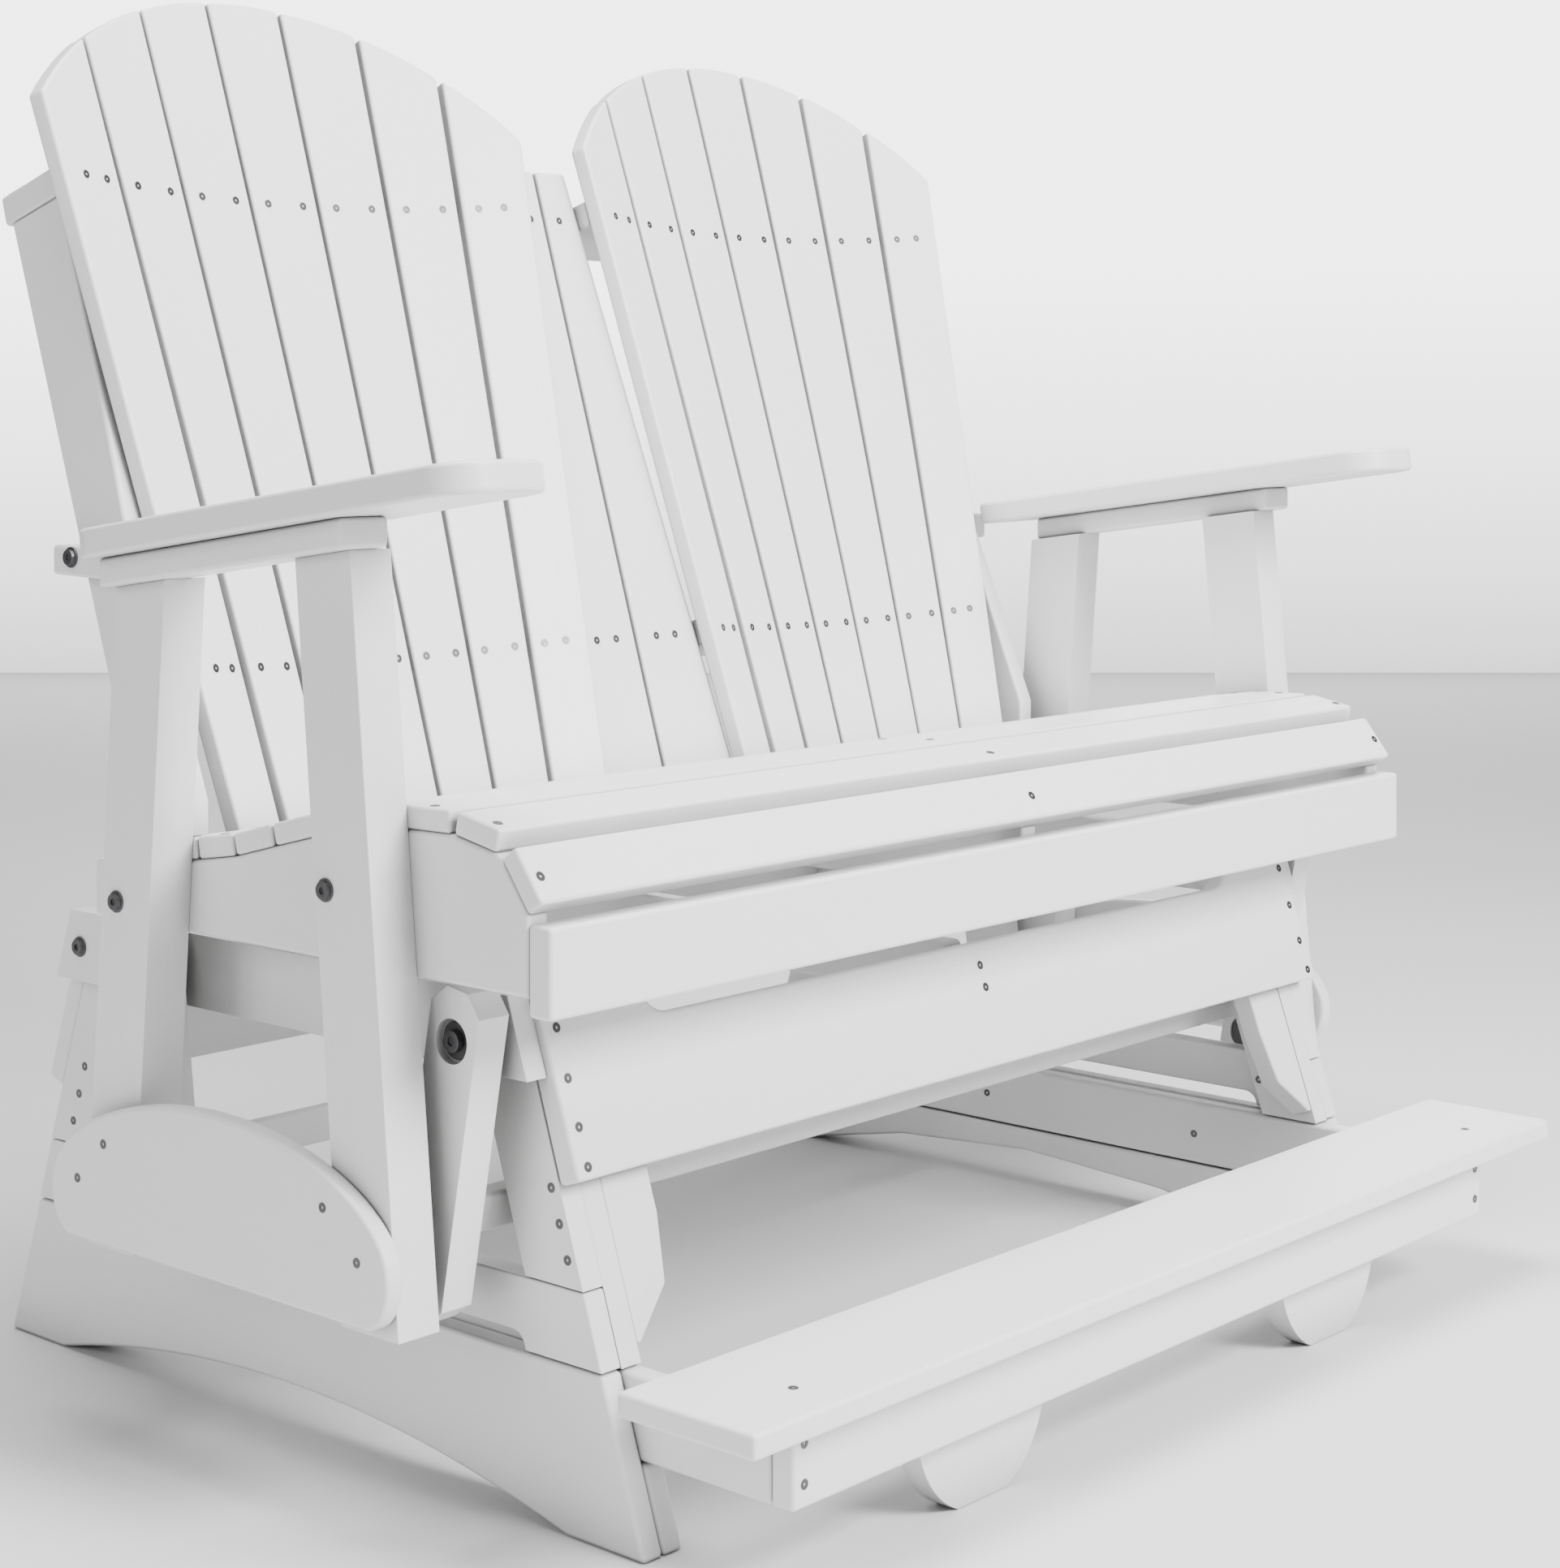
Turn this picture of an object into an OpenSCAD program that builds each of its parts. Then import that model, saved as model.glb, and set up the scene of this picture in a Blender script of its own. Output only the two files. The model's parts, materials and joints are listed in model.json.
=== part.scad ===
// Two-seat lawn glider: a fan-backed bench hung by four links from a low base with a footrest.
// Millimetres, +Z up, X across the seat, the seat faces -Y, floor at Z 0.

/* [Base] */
// Half width over the outer faces of the base side boards
base_half = 630; // [560:1:700]
// Half length of a base side board at the floor
foot_half = 467; // [420:1:520]
// Thickness of the base boards
board = 25; // [19:1:32]
// Height of the arched bottom board
bottom_h = 149.5; // [120:0.5:180]
// Rise of the arch under the bottom board
arch_rise = 46; // [20:1:70]
// Width of a base leg, measured along Y
leg_w = 72; // [60:1:90]
// Height of the top rail's upper edge
rail_top = 470.5; // [440:0.5:500]

/* [Seat] */
// Half length of the seat boards and the front board
seat_half = 722; // [680:1:760]
// Thickness of the seat slats
slat_t = 21; // [16:1:26]
// Underside of the seat side rails
seat_low = 490; // [486:1:500]
// Thickness of the arm posts
post_t = 48; // [30:1:55]
// Width of the arm posts, measured along Y
post_w = 75; // [60:1:95]

/* [Back] */
// Recline of the back slats in degrees
recline = 17; // [8:1:22]
// Thickness of the back slats
back_t = 20; // [16:1:25]
// How far the middle of each fan is set back from its ends
fan_sag = 32; // [15:1:50]
// Height of the fan's crown along the slats
crown = 906; // [800:1:950]

/* [Links] */
// Thickness of a hanging link
link_t = 36; // [25:1:40]
// Width of a hanging link
link_w = 62; // [50:1:75]
// Radius of the pivot bolts
pin_r = 6; // [4:0.5:8]
// Radial running clearance of the pivot bolts
run_gap = 0.05; // [0.02:0.01:0.1]

/* [Hidden] */
white = [0.93, 0.93, 0.92];
steel = [0.62, 0.63, 0.64];
dark = [0.16, 0.16, 0.17];
e = 0.1;

// The footrest reaches further forward than the base reaches back, so all is shifted to centre it.
footrest_front = 650;
shift_y = (footrest_front - foot_half) / 2;

// Slope of the legs: Y moved per unit of height
leg_slope = 0.335;
leg_angle = atan(leg_slope);
foot_flat = 373;
arch_r = (foot_flat * foot_flat + arch_rise * arch_rise) / (2 * arch_rise);
mid_top = 216.5;
seam = 1.5;
rail_low = 398;
leg_top = 468;
arm_low = 75;
arm_high = 148.5;
inner = base_half - board;
rail_out = base_half + board;

// Pivots, as [Y, Z]
pivot_a = [-305, 435];
pivot_b = [-266, 221];
pivot_c = [118, 203];
pivot_d = [148, 434];
front_len = norm(pivot_b - pivot_a);
rear_len = norm(pivot_c - pivot_d);
front_tilt = atan2(pivot_b[0] - pivot_a[0], pivot_a[1] - pivot_b[1]);
rear_tilt = atan2(pivot_c[0] - pivot_d[0], pivot_d[1] - pivot_c[1]);
link_in = 668;
link_out = link_in + link_t;
link_head = 47;
link_tail = 39;
link_chamfer = 18;
recess_r = 20;
recess_d = 9;
bush_r = 11;
open_gap = 1.5;
bar_up = 50;
bar_h = 36;
bar_t = 22;
head_r = 10;
washer_r = 10.5;
spacer_r = 15;

// Seat
rail_t = 25;
seat_back_end = 190;
front_y = 446;
front_t = 27;
seat_line = [[-324, 619.5], [-258, 618.5], [-202, 611], [-145, 600], [-86, 585], [-29, 570], [27, 561],
    [57, 557.3]];
edge_slat = [[-382, 608.5], [-326, 619.8]];
nose_slat = [[-420, 559], [-385.5, 605.8]];
nose_low = 560.3;
slat_gap = 3;

// Arms
post_in = seat_half;
post_out = post_in + post_t;
arm_slope = 0.1356;
arm_t = 28;
arm_rear = 117;
arm_low_z = 843.3;
arm_in = 689;
arm_out = 815;
arm_len = 554;
arm_neck = 242;
cleat_in = 734;
cleat_out = 790;
cleat_front = -258;
cleat_rear = 92;
block_front = 166;
block_rear = 262;
block_low = 823;
block_top = 853;
panel_t = 20;
panel_y = -75;
panel_z = 243;

// Back
back_y = 71.5;
back_z = 584;
fan_x = 376.3;
pitch = 74.6;
spread = 0.032;
drift = 0.0207;
slat_low = -60;
turn_at = 375;
lean_step = 5.2;
crown_r = 453;
crown_x = 391.5;
crown_mid = 850;
fan_gap = 5;
upper_t = 675;
upper_screws = 669;
lower_t = 155;
shelf_t = 32;
shelf_gap = 0.8;
shelf_depth = 122;
infill_set = 20;
infill_top = 731;
upright_slope = 0.36;
upright_z = 582;
upright_front = 62.7;
upright_rear = 154;
upright_turn = 608;
strap_w = 17;
strap_x = 690;

// Screws
screw_r = 4.5;
screw_l = 18;
socket = 2.4;

function leg_y(z) = foot_half - leg_slope * z;
function arm_z(y) = arm_low_z + arm_slope * (arm_rear - y);
function front_post_y(z) = -211 - 0.094 * (846 - z);
function rear_post_y(z) = 54 + 0.0745 * (810 - z);
function slat_c(i, t) = -fan_x + i * pitch + t * (-drift + i * spread);
function slat_w(t) = pitch - fan_gap + spread * t;
function slat_n(i) = fan_sag * (1 - i * i / 9);
function slat_g(i) = -lean_step * i;
function slat_u(i, s, t) = slat_c(i, t) - slat_c(i, turn_at) + s * slat_w(t) / 2;
function slat_p(i, u, y) = [slat_c(i, turn_at) + u * cos(slat_g(i)) - y * sin(slat_g(i)),
    slat_n(i) + u * sin(slat_g(i)) + y * cos(slat_g(i))];
function top_u(i, s) = slat_u(i, s, crown_t(slat_c(i, crown_mid) + s * slat_w(crown_mid) / 2));
function crown_t(x) = crown - crown_r + sqrt(crown_r * crown_r - pow(x + crown_x, 2));
function infill_x(t) = fan_x - 3.5 * pitch + fan_gap * 1.5 - t * (spread * 3.5 - drift) - fan_gap;
function back_pt(y, t) = [back_y + y * cos(recline) + t * sin(recline),
    back_z - y * sin(recline) + t * cos(recline)];
function upright_y(offset, z) = offset + upright_slope * (z - upright_z);
function under_shelf(y) = let (p = back_pt(0, upper_t - shelf_t / 2)) p[1] - e - tan(recline) * (y - p[0]);
function upright_top(offset) = (offset + upright_slope * (under_shelf(0) - upright_z))
    / (1 + upright_slope * tan(recline));
function flip(list) = [for (k = [len(list) - 1:-1:0]) [-list[k][0], list[k][1]]];

module place() translate([0, shift_y, 0]) children();

// Profile in the YZ plane, extruded along X from x
module side(x, t) translate([x, 0, 0]) rotate([90, 0, 90]) linear_extrude(t) children();

module pin(x, y, z, r, l) translate([x, y, z]) rotate([0, 90, 0]) cylinder(r = r, h = l, $fn = 48);

module both() {
    children();
    mirror([1, 0, 0]) children();
}

// Screw with a square socket: head at the origin, shank along +Z
module screw() difference() {
    union() {
        translate([0, 0, -0.6]) cylinder(r = screw_r, h = 2.6, $fn = 32);
        cylinder(r = 2.2, h = screw_l, $fn = 24);
    }
    translate([-socket / 2, -socket / 2, -2]) cube([socket, socket, 3.2]);
}

module screw_x(x, y, z) translate([x, y, z]) rotate([0, 90, 0]) screw();

module screw_y(x, y, z) translate([x, y, z]) rotate([-90, 0, 0]) screw();

module screw_down(x, y, z) translate([x, y, z]) rotate([180, 0, 0]) screw();

// Bolt head on a washer: face at the origin, shank along +Z
module bolt(l) difference() {
    union() {
        translate([0, 0, -2]) cylinder(r = washer_r, h = 2, $fn = 48);
        translate([0, 0, -5.5]) cylinder(r = 8, h = 3.6, $fn = 48);
        cylinder(r = 5, h = l, $fn = 32);
    }
    translate([0, 0, -6]) cylinder(r = 3.4, h = 3, $fn = 6);
}

module bolt_x(x, y, z, l) translate([x, y, z]) rotate([0, 90, 0]) bolt(l);

// Leg-aligned frame: local y is square to the leg, local z runs up its outer edge
module on_leg() translate([0, -foot_half, 0]) rotate([-leg_angle, 0, 0]) children();

module bottom_board() difference() {
    side(-base_half, board) polygon([[-foot_half, 0], [foot_half, 0], [leg_y(bottom_h), bottom_h],
        [-leg_y(bottom_h), bottom_h]]);
    pin(-base_half - 5, 0, arch_rise - arch_r, arch_r, board + 10);
}

module mid_rail() {
    low = bottom_h + seam;
    slot_h = 16;
    slot_end = 321 - slot_h;
    difference() {
        side(-base_half, board) polygon([[-leg_y(low), low], [leg_y(low), low], [leg_y(mid_top), mid_top],
            [-leg_y(mid_top), mid_top]]);
        translate([-base_half - 5, -slot_end, low - 5]) cube([board + 10, 2 * slot_end, slot_h + 5]);
        for (s = [-1, 1]) pin(-base_half - 5, s * slot_end, low, slot_h, board + 10);
    }
}

module leg(x, low, high) side(x, board) polygon([[-leg_y(low), low], [-leg_y(low) + leg_w, low],
    [-leg_y(high) + leg_w, high], [-leg_y(high), high]]);

module leg_pair(x, low, high) difference() {
    union() {
        leg(x, low, high);
        mirror([0, 1, 0]) leg(x, low, high);
    }
    pin(x - 5, pivot_a[0], pivot_a[1], pin_r + e, board + 10);
}

module inner_foot() difference() {
    side(-inner, board) polygon([[-foot_half, 0], [foot_half, 0], [leg_y(arm_low - seam), arm_low - seam],
        [-leg_y(arm_low - seam), arm_low - seam]]);
    pin(-inner - 5, 0, arch_rise - arch_r, arch_r, board + 10);
}

module top_rail() {
    end_low = leg_y(rail_low) + 16.4;
    end_high = leg_y(rail_top) + 15.6;
    difference() {
        side(-rail_out, board - e) polygon([[-end_low, rail_low], [end_low, rail_low], [end_high, rail_top],
            [-end_high, rail_top]]);
        pin(-rail_out - 5, pivot_a[0], pivot_a[1], pin_r + e, board + 10);
        pin(-rail_out - 5, pivot_d[0], pivot_d[1], pin_r + e, board + 10);
    }
}

module apron_board(low) translate([-base_half, -board, low]) cube([2 * base_half, board - e, 485 - low]);

module gusset() {
    g_low = 174;
    g_high = 420;
    g_in = inner - board;
    reach = 86;
    scoop_r = 420;
    difference() {
        translate([0, board, 0]) rotate([90, 0, 0]) linear_extrude(board - e) polygon([[-g_in + e, g_low],
            [-g_in + 6, g_low], [-g_in + 52, g_low + 42], [-g_in + reach, g_high], [-g_in + e, g_high]]);
        translate([-g_in + 62 + scoop_r, -5, g_low + 118]) rotate([-90, 0, 0])
            cylinder(r = scoop_r, h = board + 10, $fn = 180);
    }
}

module foot_support() {
    foot_r = 96.5;
    foot_z = 89;
    foot_x = 309;
    translate([foot_x, -587 + board, 0]) rotate([90, 0, 0]) linear_extrude(board - e) intersection() {
        union() {
            translate([0, foot_z]) circle(r = foot_r, $fn = 120);
            translate([-foot_r, foot_z]) square([2 * foot_r, 60]);
        }
        translate([-foot_r, 0]) square([2 * foot_r, 151 - e]);
    }
}

module on_front_link() translate([0, pivot_a[0], pivot_a[1]]) rotate([front_tilt, 0, 0]) children();

module on_rear_link() translate([0, pivot_d[0], pivot_d[1]]) rotate([rear_tilt, 0, 0]) children();

module link(len) {
    w = link_w / 2;
    c = link_chamfer;
    low = -len - link_tail;
    difference() {
        side(-link_out, link_t) polygon([[-w + c, low], [w - c, low], [w, low + c], [w, link_head - c],
            [w - c, link_head], [-w + c, link_head], [-w, link_head - c], [-w, low + c]]);
        for (z = [0, -len]) pin(-link_out - 5, 0, z, bush_r + e, link_t + 10);
        pin(-link_out - 5, 0, 0, recess_r, 5 + recess_d);
        pin(-link_in - recess_d, 0, -len, recess_r, recess_d + 5);
    }
}

module bush(x, dir, z, gap) translate([x, 0, z]) rotate([0, 90 * dir, 0]) difference() {
    union() {
        cylinder(r = 17, h = 3, $fn = 64);
        cylinder(r = bush_r, h = link_t - recess_d, $fn = 64);
    }
    translate([0, 0, -5]) cylinder(r = pin_r + gap, h = link_t + 10, $fn = 48);
}

module bush_pair(len, low_gap) {
    bush(-link_out + recess_d - 3, 1, 0, run_gap);
    bush(-link_in - recess_d + 3, -1, -len, low_gap);
}

module cross_bar(len) translate([-link_in + e, -bar_t / 2, -len + bar_up - bar_h / 2])
    cube([2 * (link_in - e), bar_t, bar_h]);

module link_screws(len) both() for (z = [-7, 7]) screw_x(-link_out, 0, -len + bar_up + z);

// Socket-head pivot bolt: underside of the head at the origin, shank along +Z
module pivot_bolt(l) difference() {
    union() {
        translate([0, 0, -6.5]) cylinder(r = head_r, h = 6.5, $fn = 48);
        cylinder(r = pin_r, h = l, $fn = 48);
    }
    translate([0, 0, -7]) cylinder(r = 4.5, h = 4, $fn = 6);
}

module top_pivot(p, l) {
    translate([-link_out + recess_d - 3.5, p[0], p[1]]) rotate([0, 90, 0]) pivot_bolt(l);
    difference() {
        pin(-link_in + 0.5, p[0], p[1], spacer_r, link_in - rail_out - 0.5 - e);
        pin(-link_in - 5, p[0], p[1], pin_r - 1, 30);
    }
}

module low_pivot(p) {
    gap_x = post_in - link_out;
    translate([-link_in - recess_d + 3.5, p[0], p[1]]) rotate([0, -90, 0]) pivot_bolt(post_out - link_in - 14);
    difference() {
        pin(-post_in + e, p[0], p[1], spacer_r, gap_x - 0.5 - e);
        pin(-post_in - 5, p[0], p[1], pin_r - 1, 30);
    }
}

module seat_rail(x, rear) side(x, rail_t) polygon(concat([[-front_y + front_t + e, seat_low],
    [rear, seat_low], [rear, rear > 100 ? 545 : 556]], rear > 100 ? [seat_line[7]] : [],
    [for (k = [6:-1:0]) seat_line[k]], [edge_slat[0], nose_slat[1], [-front_y + front_t + e, nose_low]]));

module seat_board(p, q, t) {
    len = norm(q - p) - slat_gap;
    translate([-seat_half, p[0], p[1]]) rotate([atan2(q[1] - p[1], q[0] - p[0]), 0, 0])
        translate([0, slat_gap / 2, e]) cube([2 * seat_half, len, t - e]);
}

module seat_board_screws(p, q, share) {
    len = norm(q - p);
    for (x = [-seat_half + rail_t / 2, 0, seat_half - rail_t / 2]) translate([x, p[0], p[1]])
        rotate([atan2(q[1] - p[1], q[0] - p[0]), 0, 0]) screw_down(0, len * share, slat_t);
}

module on_back() translate([0, back_y, back_z]) rotate([-recline, 0, 0]) children();

module fan_slat(i) {
    lo = slat_low;
    left = top_u(i, -1);
    right = top_u(i, 1);
    translate([slat_c(i, turn_at), slat_n(i), 0]) rotate([0, 0, slat_g(i)]) translate([0, back_t, 0])
        rotate([90, 0, 0]) linear_extrude(back_t) polygon(concat([[slat_u(i, -1, lo), lo],
        [slat_u(i, 1, lo), lo]], [for (k = [6:-1:0]) let (u = left + (right - left) * k / 6)
        [u, crown_t(slat_c(i, turn_at) + u)]]));
}

module fan_screws(i, t) for (s = [i == -3 ? -0.18 : -0.54, i == 3 ? 0.2 : 0.54])
    translate([slat_c(i, turn_at), slat_n(i), 0])
    rotate([0, 0, slat_g(i)]) screw_y(slat_u(i, s, t), 0, t);

module infill_slat() translate([0, infill_set + back_t, 0]) rotate([90, 0, 0]) linear_extrude(back_t)
    polygon([[-infill_x(slat_low), slat_low], [-fan_gap / 2, slat_low], [-fan_gap / 2, infill_top],
    [-infill_x(infill_top), infill_top]]);

// Shelf behind the slats whose front edge follows their back faces
module shelf(t, half, depth) {
    fan = [for (i = [-3:3], s = [-1, 1]) slat_p(i, slat_u(i, s, t), back_t + shelf_gap)];
    span = infill_x(t - shelf_t / 2) + shelf_gap;
    reach = seat_half + depth;
    last = fan[13] - fan[12];
    step = fan[12] + last * (-span - fan[12][0]) / last[0];
    front = concat([for (k = [0:12]) fan[k]], [step, [-span, infill_set + back_t + shelf_gap]]);
    translate([0, 0, t - shelf_t / 2]) linear_extrude(shelf_t) intersection() {
        polygon(concat([[-reach, fan[0][1]]], front, flip(front),
            [[reach, fan[0][1]], [reach, depth], [-reach, depth]]));
        translate([-half, -reach]) square([2 * half, 2 * reach]);
    }
}

module upright() {
    y_front = upright_top(upright_front);
    y_rear = upright_top(upright_rear);
    foot = seat_low + 2;
    clear = 14;
    side(-seat_half + rail_t + e, rail_t) polygon([[upright_y(upright_front, upright_turn), foot],
        [upright_y(upright_rear, foot), foot], [y_rear, under_shelf(y_rear)], [y_front, under_shelf(y_front)],
        back_pt(clear, 430), back_pt(clear, 262), [upright_y(upright_front, upright_turn), upright_turn]]);
}

// Steel straps over the top rail and down the back of an upright
module angle_bracket() on_back() {
    translate([-strap_x, shelf_depth - 34, upper_t + shelf_t / 2 + e]) cube([strap_w, 30, 2.5]);
    translate([-strap_x, shelf_depth - 11, upper_t - shelf_t / 2 - 52]) cube([strap_w, 3, 52 - e]);
}

// Armrest lying on the cleat: a paddle at the front, cut back at the rear to meet the upright
module armrest() {
    plan_r = 42;
    rear_r = 50;
    w = arm_out - arm_in;
    translate([-arm_out, arm_rear, arm_low_z + e]) rotate([-atan(arm_slope), 0, 0]) linear_extrude(arm_t) {
        translate([0, plan_r - arm_len]) square([w, arm_len - arm_neck]);
        translate([plan_r, -arm_len]) square([w - 2 * plan_r, plan_r + 1]);
        for (x = [plan_r, w - plan_r]) translate([x, plan_r - arm_len]) circle(r = plan_r, $fn = 96);
        polygon([[0, -arm_neck], [w, -arm_neck], [w, 34], [rear_r, 0], [rear_r, -rear_r], [0, -rear_r]]);
        translate([rear_r, -rear_r]) circle(r = rear_r, $fn = 96);
    }
}

module cleat() side(-cleat_out, cleat_out - cleat_in) polygon([[cleat_front, arm_z(cleat_front) - arm_t],
    [cleat_rear, arm_z(cleat_rear) - arm_t], [cleat_rear, arm_z(cleat_rear)],
    [cleat_front, arm_z(cleat_front)]]);

// Block behind the armrest, bolted to the outer face of the upright
module arm_rail() side(-seat_half, rail_t) polygon([[block_front, block_low - 3], [block_rear, block_low],
    [block_rear, block_top], [block_front, block_top]]);

module posts() {
    low = 187;
    w = post_w / 2;
    difference() {
        union() {
            side(-post_out, post_t - e) polygon([[front_post_y(low) - w, low], [front_post_y(low) + w, low],
                [front_post_y(853.8) + w, arm_z(front_post_y(853.8) + w) - arm_t - e],
                [front_post_y(864) - w, arm_z(front_post_y(864) - w) - arm_t - e]]);
            side(-post_out, post_t - e) polygon([[rear_post_y(low) - w, low], [rear_post_y(low) + w, low],
                [rear_post_y(818.8) + w, arm_z(rear_post_y(818.8) + w) - arm_t - e],
                [rear_post_y(829) - w, arm_z(rear_post_y(829) - w) - arm_t - e]]);
        }
        for (p = [pivot_b, pivot_c]) pin(-post_out - 5, p[0], p[1], pin_r + e, post_t + 10);
    }
}

module panel() side(-post_out - panel_t, panel_t - e) polygon(concat(
    [for (a = [0:4:180]) [panel_y + 243 * cos(a), panel_z + 105 * sin(a)]],
    [for (a = [9:9:90]) [panel_y - 213 - 30 * cos(a), panel_z - 45 * sin(a)]],
    [for (a = [90:-9:9]) [panel_y + 213 + 30 * cos(a), panel_z - 45 * sin(a)]]));

module base_bottom_board_left() color(white) place() bottom_board();
module base_bottom_board_right() color(white) place() mirror([1, 0, 0]) bottom_board();
module base_mid_rail_left() color(white) place() mid_rail();
module base_mid_rail_right() color(white) place() mirror([1, 0, 0]) mid_rail();
module base_legs_left() color(white) place() leg_pair(-base_half, mid_top + seam, leg_top);
module base_legs_right() color(white) place() mirror([1, 0, 0]) leg_pair(-base_half, mid_top + seam, leg_top);
module base_inner_legs_left() color(white) place() leg_pair(-inner + e, arm_high + seam, leg_top);
module base_inner_legs_right() color(white) place() mirror([1, 0, 0])
    leg_pair(-inner + e, arm_high + seam, leg_top);
module base_inner_foot_left() color(white) place() translate([e, 0, 0]) inner_foot();
module base_inner_foot_right() color(white) place() mirror([1, 0, 0]) translate([e, 0, 0]) inner_foot();
module base_top_rail_left() color(white) place() top_rail();
module base_top_rail_right() color(white) place() mirror([1, 0, 0]) top_rail();

module front_apron() color(white) place() on_leg() difference() {
    apron_board(321);
    translate([-470, -board - 5, 449.4]) cube([940, board + 10, 60]);
    translate([-500, -board - 5, 479.4]) cube([1000, board + 10, 30]);
    for (s = [-1, 1]) translate([s * 470, -board - 5, 479.4]) rotate([-90, 0, 0])
        cylinder(r = 30, h = board + 10, $fn = 64);
}

module rear_apron() color(white) place() mirror([0, 1, 0]) on_leg() apron_board(290);

module corner_gussets() color(white) place() both() on_leg() gusset();

module centre_stretcher() color(white) place() {
    low = 372;
    high = 432;
    side(-board / 2, board) polygon([[-leg_y(low) + e, low], [leg_y(low) - e, low], [leg_y(high) - e, high],
        [-leg_y(high) + e, high]]);
}

module footrest_arm() side(-inner + e, board) polygon([[-587, arm_low], [leg_y(arm_low), arm_low],
    [leg_y(arm_high), arm_high], [-587, arm_high]]);
module footrest_arm_left() color(white) place() footrest_arm();
module footrest_arm_right() color(white) place() mirror([1, 0, 0]) footrest_arm();
module footrest_board() color(white) place() translate([-698, -footrest_front, 151]) cube([1396, 152, 22]);
module footrest_apron() color(white) place() translate([-inner, -612, arm_low])
    cube([2 * inner, board - e, 151 - e - arm_low]);
module footrest_feet() color(white) place() both() foot_support();

module base_screws() color(steel) place() {
    both() {
        for (z = [302, 272, 242], s = [-1, 1]) screw_x(-base_half, s * (leg_y(z) - 21) - 10, z);
        for (z = [455, 410, 367, 332]) on_leg() screw_y(-base_half + 15, -board, z);
        for (z = [430, 370, 320]) mirror([0, 1, 0]) on_leg() screw_y(-base_half + 15, -board, z);
        for (z = [96, 130]) screw_y(-inner + 14, -612, z);
        screw_down(-inner + 14, -600, 173);
        for (p = [[-340, 190], [-250, 110], [60, 110], [250, 110], [340, 190]])
            translate([-inner + board + e, p[0], p[1]]) rotate([0, -90, 0]) screw();
    }
    for (z = [424, 401]) on_leg() screw_y(0, -board, z);
}

module base_bolts() color(steel) place() both() {
    bolt_x(-rail_out, 308, 434, 20);
    difference() {
        pin(-base_half + 0.2, pivot_d[0], pivot_d[1], 11, 6);
        pin(-base_half - 5, pivot_d[0], pivot_d[1], pin_r + e, 20);
    }
}

module top_pivot_bolts() color(steel) place() both() {
    top_pivot(pivot_a, 92);
    top_pivot(pivot_d, 80);
}

module front_link_left() color(white) place() on_front_link() link(front_len);
module front_link_right() color(white) place() mirror([1, 0, 0]) on_front_link() link(front_len);
module front_cross_bar() color(white) place() on_front_link() cross_bar(front_len);
module front_bearings() color(steel) place() both() on_front_link() bush_pair(front_len, run_gap);
module front_link_screws() color(steel) place() on_front_link() link_screws(front_len);
module rear_link_left() color(white) place() on_rear_link() link(rear_len);
module rear_link_right() color(white) place() mirror([1, 0, 0]) on_rear_link() link(rear_len);
module rear_cross_bar() color(white) place() on_rear_link() cross_bar(rear_len);
module rear_bearings() color(steel) place() both() on_rear_link() bush_pair(rear_len, open_gap);
module rear_link_screws() color(steel) place() on_rear_link() link_screws(rear_len);

module seat_rail_left() color(white) place() seat_rail(-seat_half, seat_back_end);
module seat_rail_right() color(white) place() mirror([1, 0, 0]) seat_rail(-seat_half, seat_back_end);
module seat_rail_centre() color(white) place() seat_rail(-rail_t / 2, 67);
module seat_front_board() color(white) place() translate([-seat_half, -front_y, 474])
    cube([2 * seat_half, front_t, 79]);
module seat_rear_board() color(white) place() translate([-seat_half + rail_t + e, 160, seat_low + 2])
    cube([2 * (seat_half - rail_t - e), board, 56]);
module seat_slats() color(white) place() for (k = [0:6]) seat_board(seat_line[k], seat_line[k + 1], slat_t);
module seat_edge_slat() color(white) place() seat_board(edge_slat[0], edge_slat[1], slat_t);
module seat_nose_slat() color(white) place() seat_board(nose_slat[0], nose_slat[1], slat_t);

module back_slats_left() color(white) place() on_back() for (i = [-3:3]) fan_slat(i);
module back_slats_right() color(white) place() mirror([1, 0, 0]) on_back() for (i = [-3:3]) fan_slat(i);
module back_slats_centre() color(white) place() both() on_back() infill_slat();
module back_upright_left() color(white) place() upright();
module back_upright_right() color(white) place() mirror([1, 0, 0]) upright();
module back_top_rail() color(white) place() on_back() shelf(upper_t, seat_half - rail_t, shelf_depth);
module back_lower_rail() color(white) place() on_back() shelf(lower_t, seat_half - 2 * rail_t - 1, 98);
module back_brackets() color(dark) place() both() angle_bracket();

module armrest_left() color(white) place() armrest();
module armrest_right() color(white) place() mirror([1, 0, 0]) armrest();
module arm_cleats() color(white) place() both() cleat();
module arm_rails() color(white) place() both() arm_rail();
module arm_posts_left() color(white) place() posts();
module arm_posts_right() color(white) place() mirror([1, 0, 0]) posts();
module side_panels() color(white) place() both() panel();

module seat_screws() color(steel) place() {
    both() {
        for (p = [[83, 294], [124, 255], [-234, 294], [-279, 255]]) screw_x(-post_out - panel_t, p[0], p[1]);
        on_back() for (i = [-3:3], t = [lower_t, upper_screws]) fan_screws(i, t);
        on_back() for (x = [34, 66]) screw_y(-x, infill_set, lower_t);
        on_back() screw_y(-24, infill_set, upper_screws);
    }
    for (k = [0:6]) seat_board_screws(seat_line[k], seat_line[k + 1], 0.5);
    seat_board_screws(edge_slat[0], edge_slat[1], 0.3);
    seat_board_screws(nose_slat[0], nose_slat[1], 0.45);
}

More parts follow.
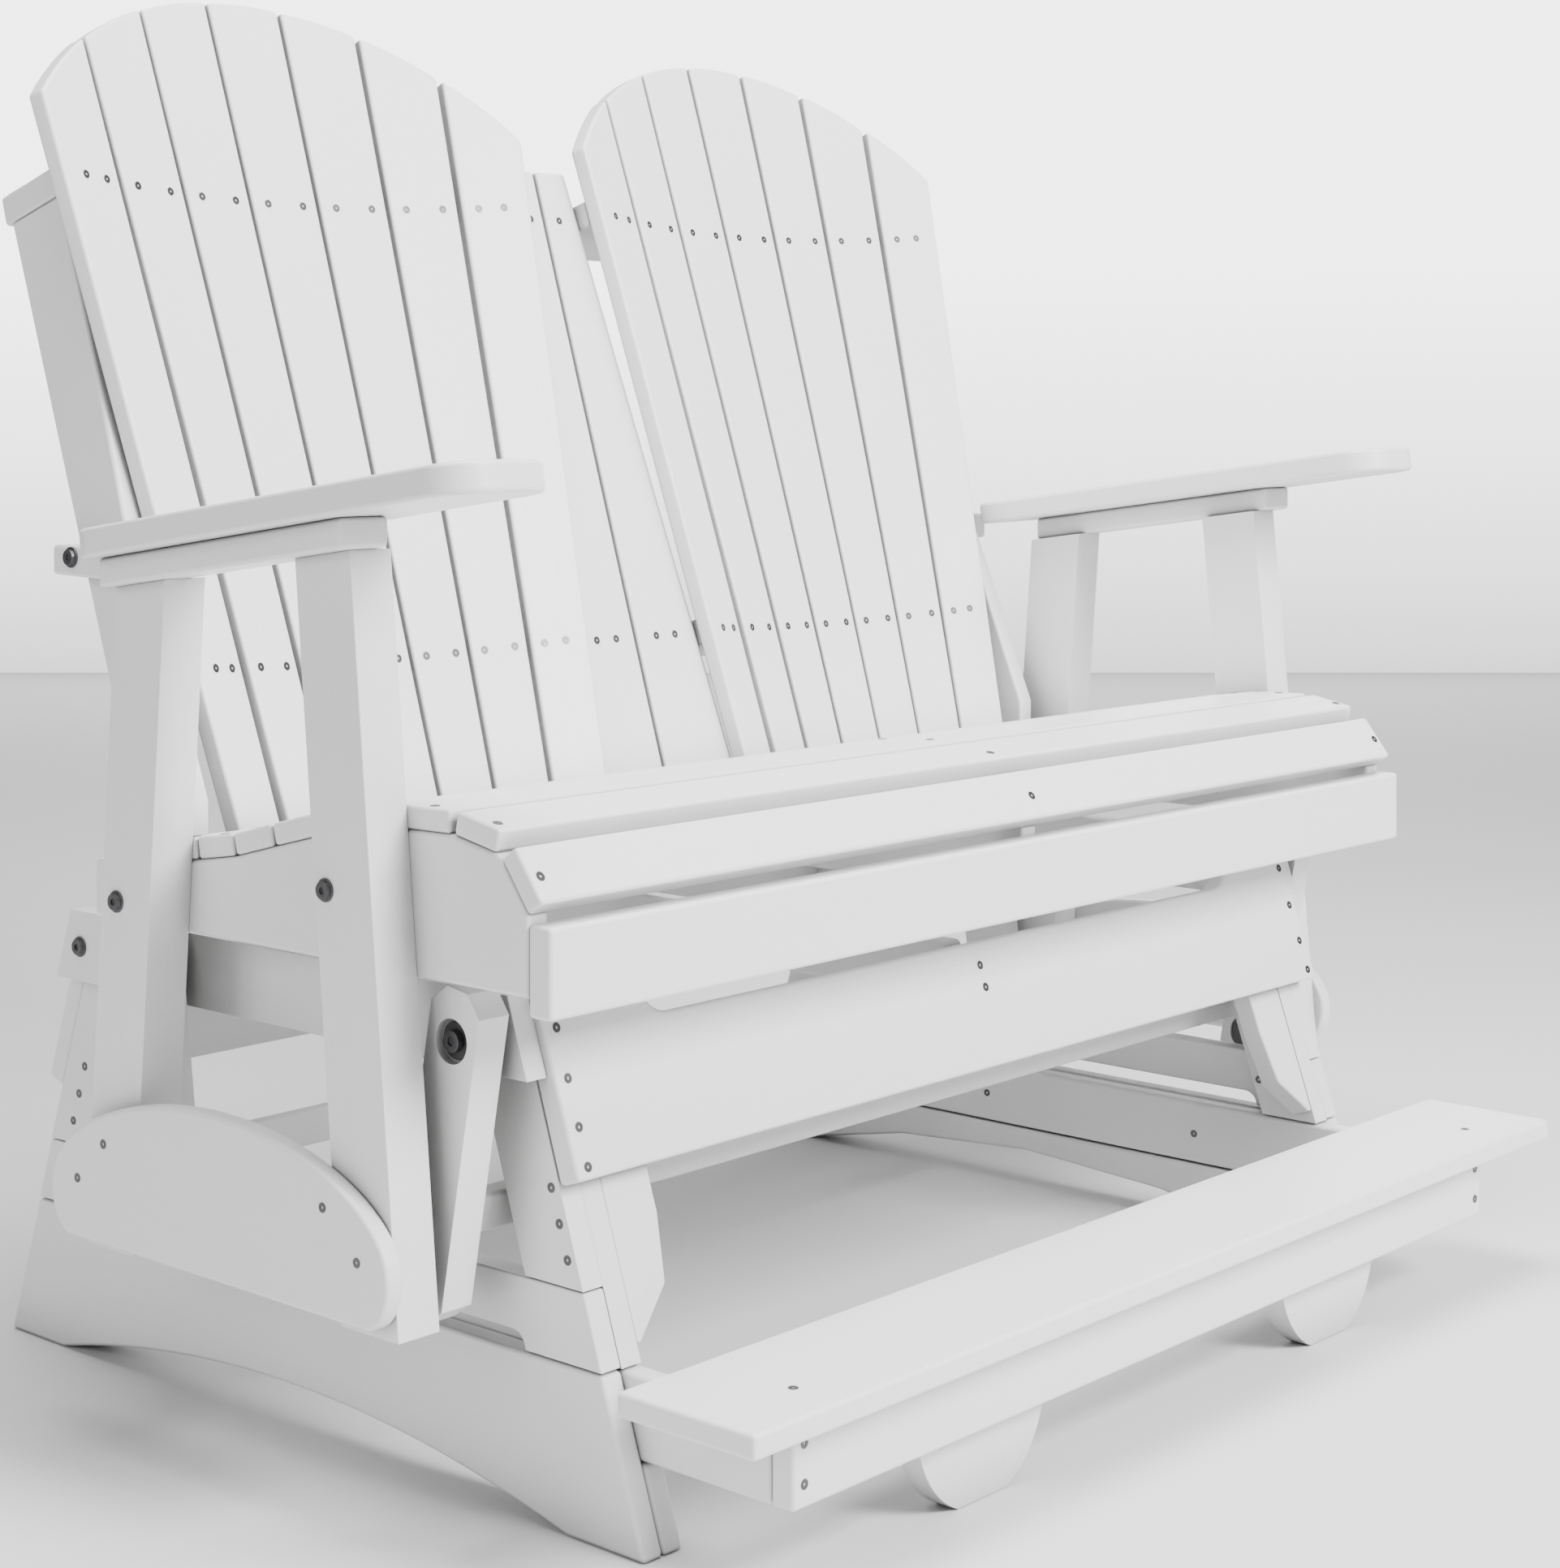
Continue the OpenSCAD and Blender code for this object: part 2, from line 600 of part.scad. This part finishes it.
module seat_bolts() color(steel) place() both() {
    bolt_x(-post_out, -215, 565, 40);
    bolt_x(-post_out, 89, 520, 40);
    bolt_x(-seat_half, 229, 841, 20);
}

module bottom_pivot_bolts() color(steel) place() both() {
    low_pivot(pivot_b);
    low_pivot(pivot_c);
}

base_bottom_board_left();
base_bottom_board_right();
base_mid_rail_left();
base_mid_rail_right();
base_legs_left();
base_legs_right();
base_inner_legs_left();
base_inner_legs_right();
base_inner_foot_left();
base_inner_foot_right();
base_top_rail_left();
base_top_rail_right();
front_apron();
rear_apron();
corner_gussets();
centre_stretcher();
footrest_arm_left();
footrest_arm_right();
footrest_board();
footrest_apron();
footrest_feet();
base_screws();
base_bolts();
top_pivot_bolts();
front_link_left();
front_link_right();
front_cross_bar();
front_bearings();
front_link_screws();
rear_link_left();
rear_link_right();
rear_cross_bar();
rear_bearings();
rear_link_screws();
seat_rail_left();
seat_rail_right();
seat_rail_centre();
seat_front_board();
seat_rear_board();
seat_slats();
seat_edge_slat();
seat_nose_slat();
back_slats_left();
back_slats_right();
back_slats_centre();
back_upright_left();
back_upright_right();
back_top_rail();
back_lower_rail();
back_brackets();
armrest_left();
armrest_right();
arm_cleats();
arm_rails();
arm_posts_left();
arm_posts_right();
side_panels();
seat_screws();
seat_bolts();
bottom_pivot_bolts();
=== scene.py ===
"""Two-seat lawn glider in white plastic lumber: materials, rounded board edges, studio and camera."""

import json
import math

import bpy
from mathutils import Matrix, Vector

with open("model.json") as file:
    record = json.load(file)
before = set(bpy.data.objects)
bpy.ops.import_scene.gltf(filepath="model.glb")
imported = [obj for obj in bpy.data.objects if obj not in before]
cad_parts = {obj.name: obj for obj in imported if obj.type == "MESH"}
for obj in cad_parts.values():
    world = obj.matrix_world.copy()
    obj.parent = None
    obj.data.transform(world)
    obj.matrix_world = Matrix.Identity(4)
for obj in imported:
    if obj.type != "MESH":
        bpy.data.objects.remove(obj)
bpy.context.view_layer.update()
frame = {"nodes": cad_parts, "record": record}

RECORD = frame["record"]
NODES = frame["nodes"]
SLOT_OF = {part["node"]: part["material_slot"] for part in RECORD["subparts"]}

BOARD_SLOT = "poly_lumber"

# Lean in degrees about X, so that the grain follows the sloping boards
LEG_LEAN = 18.5
BACK_LEAN = 15.0
UPRIGHT_LEAN = 20.0
ARM_LEAN = -7.7

# Radius of the rounded edges, in metres
BOARD_EDGE = 0.0045
SLAT_EDGE = 0.0038
LINK_EDGE = 0.0042
PLATE_EDGE = 0.0006
BOARD_SEGMENTS = 4
PLATE_SEGMENTS = 1

# Mesh clean-up before the edges are rounded: metres, then degrees
WELD_GAP = 0.00002
FLAT_ANGLE = 0.4
SHARP_ANGLE = 24.0
FACE_WEIGHT = 80


def grey(value, blue=None):
    """A grey as a colour, with its blue channel given apart where it is tinted."""
    return (value, value, value if blue is None else blue, 1.0)


# Lumber: base colour, drawn streaks, broad clouding and rubbed edges
CLEAN = grey(0.80, 0.797)
STREAK = grey(0.74, 0.737)
CLOUD = grey(0.77, 0.765)
RUBBED = grey(0.86)
GRAIN_ALONG = 1.2
GRAIN_ACROSS = 60.0

# Painted shade in gaps and corners, darkened by ambient occlusion: reach in metres, rays, and where between
# dark and open the ramp starts and ends
PAINTED_SHADE_REACH = 0.07
PAINTED_SHADE_RAYS = 6
PAINTED_SHADE_START = 0.12
PAINTED_SHADE_END = 0.86
PAINTED_SHADE = grey(0.34)

# Fasteners and bracket plates
# Fastener colour: painted shade, the steel made far darker than stainless so that the recessed screw heads
# look shaded
STEEL_WITH_PAINTED_SHADE = grey(0.13, 0.135)
STAINLESS_ROUGHNESS = 0.34
DIRT = 0.72
COAT = grey(0.018, 0.02)
COAT_WORN = grey(0.09)
COAT_ROUGHNESS = 0.45


# Materials


class Graph:
    """Short-hand for building a node material."""

    def __init__(self, name):
        self.material = bpy.data.materials.new(name)
        self.material.use_nodes = True
        self.tree = self.material.node_tree
        self.shader = self.tree.nodes["Principled BSDF"]

    def add(self, kind, **values):
        node = self.tree.nodes.new(kind)
        for key, value in values.items():
            setattr(node, key, value)
        return node

    def join(self, start, end):
        self.tree.links.new(start, end)

    def noise(self, vector, scale, detail, roughness=0.5):
        node = self.add("ShaderNodeTexNoise")
        node.inputs["Scale"].default_value = scale
        node.inputs["Detail"].default_value = detail
        node.inputs["Roughness"].default_value = roughness
        self.join(vector, node.inputs["Vector"])
        return node.outputs["Fac"]

    def spread(self, value, low, high, to_low, to_high):
        """Map a value between low and high to the range to_low to to_high."""
        node = self.add("ShaderNodeMapRange")
        for key, number in (("From Min", low), ("From Max", high), ("To Min", to_low), ("To Max", to_high)):
            node.inputs[key].default_value = number
        self.join(value, node.inputs["Value"])
        return node.outputs["Result"]

    def blend(self, kind, factor, first, second):
        """Mix two colours; the factor and the colours are values or sockets."""
        node = self.add("ShaderNodeMix", data_type="RGBA", blend_type=kind)
        sockets = [s for s in node.inputs if s.enabled and s.type == "RGBA"]
        if isinstance(factor, float):
            node.inputs["Factor"].default_value = factor
        else:
            self.join(factor, node.inputs["Factor"])
        for socket, value in zip(sockets, (first, second)):
            if isinstance(value, tuple):
                socket.default_value = value
            else:
                self.join(value, socket)
        return next(s for s in node.outputs if s.enabled and s.type == "RGBA")

    def painted_shade(self):
        """Painted shade in gaps and corners from ambient occlusion, as a grey to multiply by."""
        node = self.add("ShaderNodeAmbientOcclusion", samples=PAINTED_SHADE_RAYS)
        node.inputs["Distance"].default_value = PAINTED_SHADE_REACH
        ramp = self.add("ShaderNodeValToRGB")
        start, end = ramp.color_ramp.elements
        start.position = PAINTED_SHADE_START
        start.color = PAINTED_SHADE
        end.position = PAINTED_SHADE_END
        self.join(node.outputs["AO"], ramp.inputs["Fac"])
        return ramp.outputs["Color"]

    def bump(self, height, strength, distance, normal=None):
        node = self.add("ShaderNodeBump")
        node.inputs["Strength"].default_value = strength
        node.inputs["Distance"].default_value = distance
        self.join(height, node.inputs["Height"])
        if normal is not None:
            self.join(normal, node.inputs["Normal"])
        return node.outputs["Normal"]


def grain_vector(graph, along, lean):
    """Coordinates squeezed along the board, so that noise draws out into fine lines."""
    squeeze = [GRAIN_ALONG if axis == along else GRAIN_ACROSS for axis in "XYZ"]
    place = graph.add("ShaderNodeTexCoord").outputs["Object"]
    turn = graph.add("ShaderNodeMapping", vector_type="POINT")
    turn.inputs["Rotation"].default_value = (math.radians(lean), 0.0, 0.0)
    graph.join(place, turn.inputs["Vector"])
    stretch = graph.add("ShaderNodeMapping", vector_type="POINT")
    stretch.inputs["Scale"].default_value = squeeze
    graph.join(turn.outputs["Vector"], stretch.inputs["Vector"])
    return place, stretch.outputs["Vector"]


def lumber(name, along, lean=0.0):
    """White plastic lumber: satin, with fine drawn lines, faint clouding and rubbed edges."""
    graph = Graph(name)
    place, drawn = grain_vector(graph, along, lean)
    fine = graph.noise(drawn, 14.0, 4.0, 0.6)
    broad = graph.noise(place, 3.5, 3.0)
    speck = graph.noise(place, 900.0, 2.0)
    lines = graph.spread(fine, 0.35, 0.75, 0.0, 0.55)
    colour = graph.blend("MIX", lines, CLEAN, STREAK)
    clouds = graph.spread(broad, 0.45, 0.8, 0.0, 0.5)
    colour = graph.blend("MIX", clouds, colour, CLOUD)
    edge = graph.add("ShaderNodeNewGeometry").outputs["Pointiness"]
    rubbed = graph.spread(edge, 0.52, 0.62, 0.0, 0.6)
    colour = graph.blend("MIX", rubbed, colour, RUBBED)
    # Painted shade: the colour is darkened in gaps and corners by ambient occlusion
    colour = graph.blend("MULTIPLY", 1.0, colour, graph.painted_shade())
    graph.join(colour, graph.shader.inputs["Base Color"])
    graph.join(graph.spread(fine, 0.3, 0.8, 0.3, 0.44), graph.shader.inputs["Roughness"])
    normal = graph.bump(fine, 0.16, 0.0006)
    normal = graph.bump(speck, 0.05, 0.0003, normal)
    graph.join(normal, graph.shader.inputs["Normal"])
    graph.shader.inputs["Specular IOR Level"].default_value = 0.45
    return graph.material


def steel(name, colour, rough):
    """Stainless fasteners with fine scratches and a little dirt."""
    graph = Graph(name)
    place = graph.add("ShaderNodeTexCoord").outputs["Object"]
    scratch = graph.noise(place, 700.0, 3.0)
    dull = graph.noise(place, 60.0, 3.0)
    shade = tuple(DIRT * c for c in colour[:3]) + (1.0,)
    dirty = graph.blend("MIX", graph.spread(dull, 0.4, 0.7, 0.0, 0.8), colour, shade)
    graph.join(dirty, graph.shader.inputs["Base Color"])
    graph.join(graph.spread(scratch, 0.3, 0.7, rough, rough + 0.15), graph.shader.inputs["Roughness"])
    graph.join(graph.bump(scratch, 0.12, 0.0002), graph.shader.inputs["Normal"])
    graph.shader.inputs["Metallic"].default_value = 1.0
    return graph.material


def coated(name):
    """Black powder coat on the bracket plates."""
    graph = Graph(name)
    place = graph.add("ShaderNodeTexCoord").outputs["Object"]
    peel = graph.noise(place, 420.0, 3.0)
    worn = graph.noise(place, 35.0, 4.0)
    colour = graph.blend("MIX", graph.spread(worn, 0.62, 0.8, 0.0, 0.5), COAT, COAT_WORN)
    graph.join(colour, graph.shader.inputs["Base Color"])
    graph.join(graph.bump(peel, 0.15, 0.0003), graph.shader.inputs["Normal"])
    graph.shader.inputs["Roughness"].default_value = COAT_ROUGHNESS
    return graph.material


LUMBER = {
    "across": lumber("lumber_across", "X"),
    "deep": lumber("lumber_deep", "Y"),
    "leg": lumber("lumber_leg", "Z", LEG_LEAN),
    "back": lumber("lumber_back", "Z", BACK_LEAN),
    "upright": lumber("lumber_upright", "Z", UPRIGHT_LEAN),
    "post": lumber("lumber_post", "Z"),
    "arm": lumber("lumber_arm", "Y", ARM_LEAN),
}
FASTENER = steel("stainless", STEEL_WITH_PAINTED_SHADE, STAINLESS_ROUGHNESS)
BRACKET = coated("black_coat")

# Grain of each board, by the start of its name; every other board runs across
GRAIN = (
    ("base_legs", "leg"), ("base_inner_legs", "leg"), ("corner_gussets", "leg"), ("base_", "deep"),
    ("centre_stretcher", "deep"), ("footrest_arm", "deep"), ("footrest_feet", "post"),
    ("seat_rail", "deep"), ("side_panels", "deep"), ("back_slats", "back"), ("back_upright", "upright"),
    ("armrest", "arm"), ("arm_cleats", "arm"), ("arm_rails", "arm"), ("arm_posts", "post"),
    ("front_link", "post"), ("rear_link", "post"),
)


def grain_of(name):
    return next((grain for start, grain in GRAIN if name.startswith(start)), "across")


def edge_of(name):
    if SLOT_OF[name] != BOARD_SLOT:
        return PLATE_EDGE
    if name.startswith(("back_slats", "seat_slats", "seat_edge", "seat_nose")):
        return SLAT_EDGE
    if "_link_" in name:
        return LINK_EDGE
    return BOARD_EDGE


def dress(name, node):
    """Give a CAD node its material and its rounded edges."""
    slot = SLOT_OF[name]
    board = slot == BOARD_SLOT
    material = {"fastener_steel": FASTENER, "dark_steel": BRACKET}.get(slot) or LUMBER[grain_of(name)]
    node.data.materials.clear()
    node.data.materials.append(material)
    node.data.polygons.foreach_set("use_smooth", [True] * len(node.data.polygons))
    weld = node.modifiers.new("weld", "WELD")
    weld.merge_threshold = WELD_GAP
    flats = node.modifiers.new("flats", "DECIMATE")
    flats.decimate_type = "DISSOLVE"
    flats.angle_limit = math.radians(FLAT_ANGLE)
    rounding = node.modifiers.new("rounding", "BEVEL")
    rounding.limit_method = "ANGLE"
    rounding.angle_limit = math.radians(SHARP_ANGLE)
    rounding.width = edge_of(name)
    rounding.segments = BOARD_SEGMENTS if board else PLATE_SEGMENTS
    rounding.use_clamp_overlap = True
    rounding.miter_outer = "MITER_ARC" if board else "MITER_SHARP"
    shading = node.modifiers.new("shading", "WEIGHTED_NORMAL")
    shading.weight = FACE_WEIGHT


for node_name, node_object in NODES.items():
    dress(node_name, node_object)


# Studio

UPRIGHT = math.radians(90.0)
CAMERA_TURN = math.radians(-46.97)

FLOOR_SIZE = 40.0
FLOOR_DROP = 0.0005
PAPER = grey(0.72)
PAPER_ROUGHNESS = 0.9
PAPER_SHINE = 0.1

# The backdrop glows from its foot up: strength at the foot and above the fade
BACKDROP_PLACE = (5.9, 5.3, 2.0)
BACKDROP_SIZE = (10.0, 4.0, 1.0)
FADE_START = -0.5
FADE_END = -0.1
FOOT_GLOW = 1.6
GLOW = 4.5

SKY_STRENGTH = 0.22

# Area lights: name, place, target, side lengths, power in watts
LIGHTS = (
    ("key", (0.6, -4.4, 3.2), (0.0, 0.0, 0.6), (2.0, 2.0), 560.0),
    ("top", (-0.4, -0.4, 4.6), (0.0, 0.0, 0.4), (2.2, 2.2), 330.0),
    ("side", (-4.6, 0.3, 2.0), (0.0, 0.0, 0.6), (2.0, 2.0), 70.0),
)


def floor():
    bpy.ops.mesh.primitive_plane_add(size=FLOOR_SIZE, location=(0.0, 0.0, -FLOOR_DROP))
    plane = bpy.context.object
    plane.name = "studio_floor"
    graph = Graph("studio_paper")
    graph.shader.inputs["Base Color"].default_value = PAPER
    graph.shader.inputs["Roughness"].default_value = PAPER_ROUGHNESS
    graph.shader.inputs["Specular IOR Level"].default_value = PAPER_SHINE
    plane.data.materials.append(graph.material)


def backdrop():
    """Bright paper far behind, fading into the floor at its foot."""
    bpy.ops.mesh.primitive_plane_add(size=1.0, location=BACKDROP_PLACE)
    wall = bpy.context.object
    wall.name = "studio_backdrop"
    wall.scale = BACKDROP_SIZE
    wall.rotation_euler = (UPRIGHT, 0.0, CAMERA_TURN)
    graph = Graph("studio_glow")
    place = graph.add("ShaderNodeTexCoord").outputs["Object"]
    height = graph.add("ShaderNodeSeparateXYZ")
    graph.join(place, height.inputs["Vector"])
    glow = graph.spread(height.outputs["Y"], FADE_START, FADE_END, FOOT_GLOW, GLOW)
    graph.join(glow, graph.shader.inputs["Emission Strength"])
    graph.shader.inputs["Emission Color"].default_value = grey(1.0)
    graph.shader.inputs["Base Color"].default_value = grey(0.0)
    wall.data.materials.append(graph.material)


def area_light(name, place, target, size, power):
    data = bpy.data.lights.new(name, "AREA")
    data.shape = "RECTANGLE"
    data.size, data.size_y = size
    data.energy = power
    lamp = bpy.data.objects.new(name, data)
    bpy.context.scene.collection.objects.link(lamp)
    lamp.location = place
    aim = [t - p for t, p in zip(target, place)]
    lamp.rotation_mode = "QUATERNION"
    lamp.rotation_quaternion = Vector(aim).to_track_quat("-Z", "Y")


def sky(strength):
    world = bpy.data.worlds.new("studio")
    bpy.context.scene.world = world
    world.use_nodes = True
    background = world.node_tree.nodes["Background"]
    background.inputs["Color"].default_value = grey(1.0)
    background.inputs["Strength"].default_value = strength


floor()
backdrop()
sky(SKY_STRENGTH)
for light in LIGHTS:
    area_light(*light)


# Camera: level, seen from the front left at the height of the arms, framed with lens shift

CAMERA_PLACE = (-2.395, -2.029, 0.975)
SENSOR = 36.0
LENS = 65.1
FRAME_SHIFT = (0.0833, -0.2303)


def camera():
    data = bpy.data.cameras.new("camera")
    data.sensor_width = SENSOR
    data.lens = LENS
    data.shift_x, data.shift_y = FRAME_SHIFT
    view = bpy.data.objects.new("camera", data)
    bpy.context.scene.collection.objects.link(view)
    view.location = CAMERA_PLACE
    view.rotation_euler = (UPRIGHT, 0.0, CAMERA_TURN)
    bpy.context.scene.camera = view


camera()
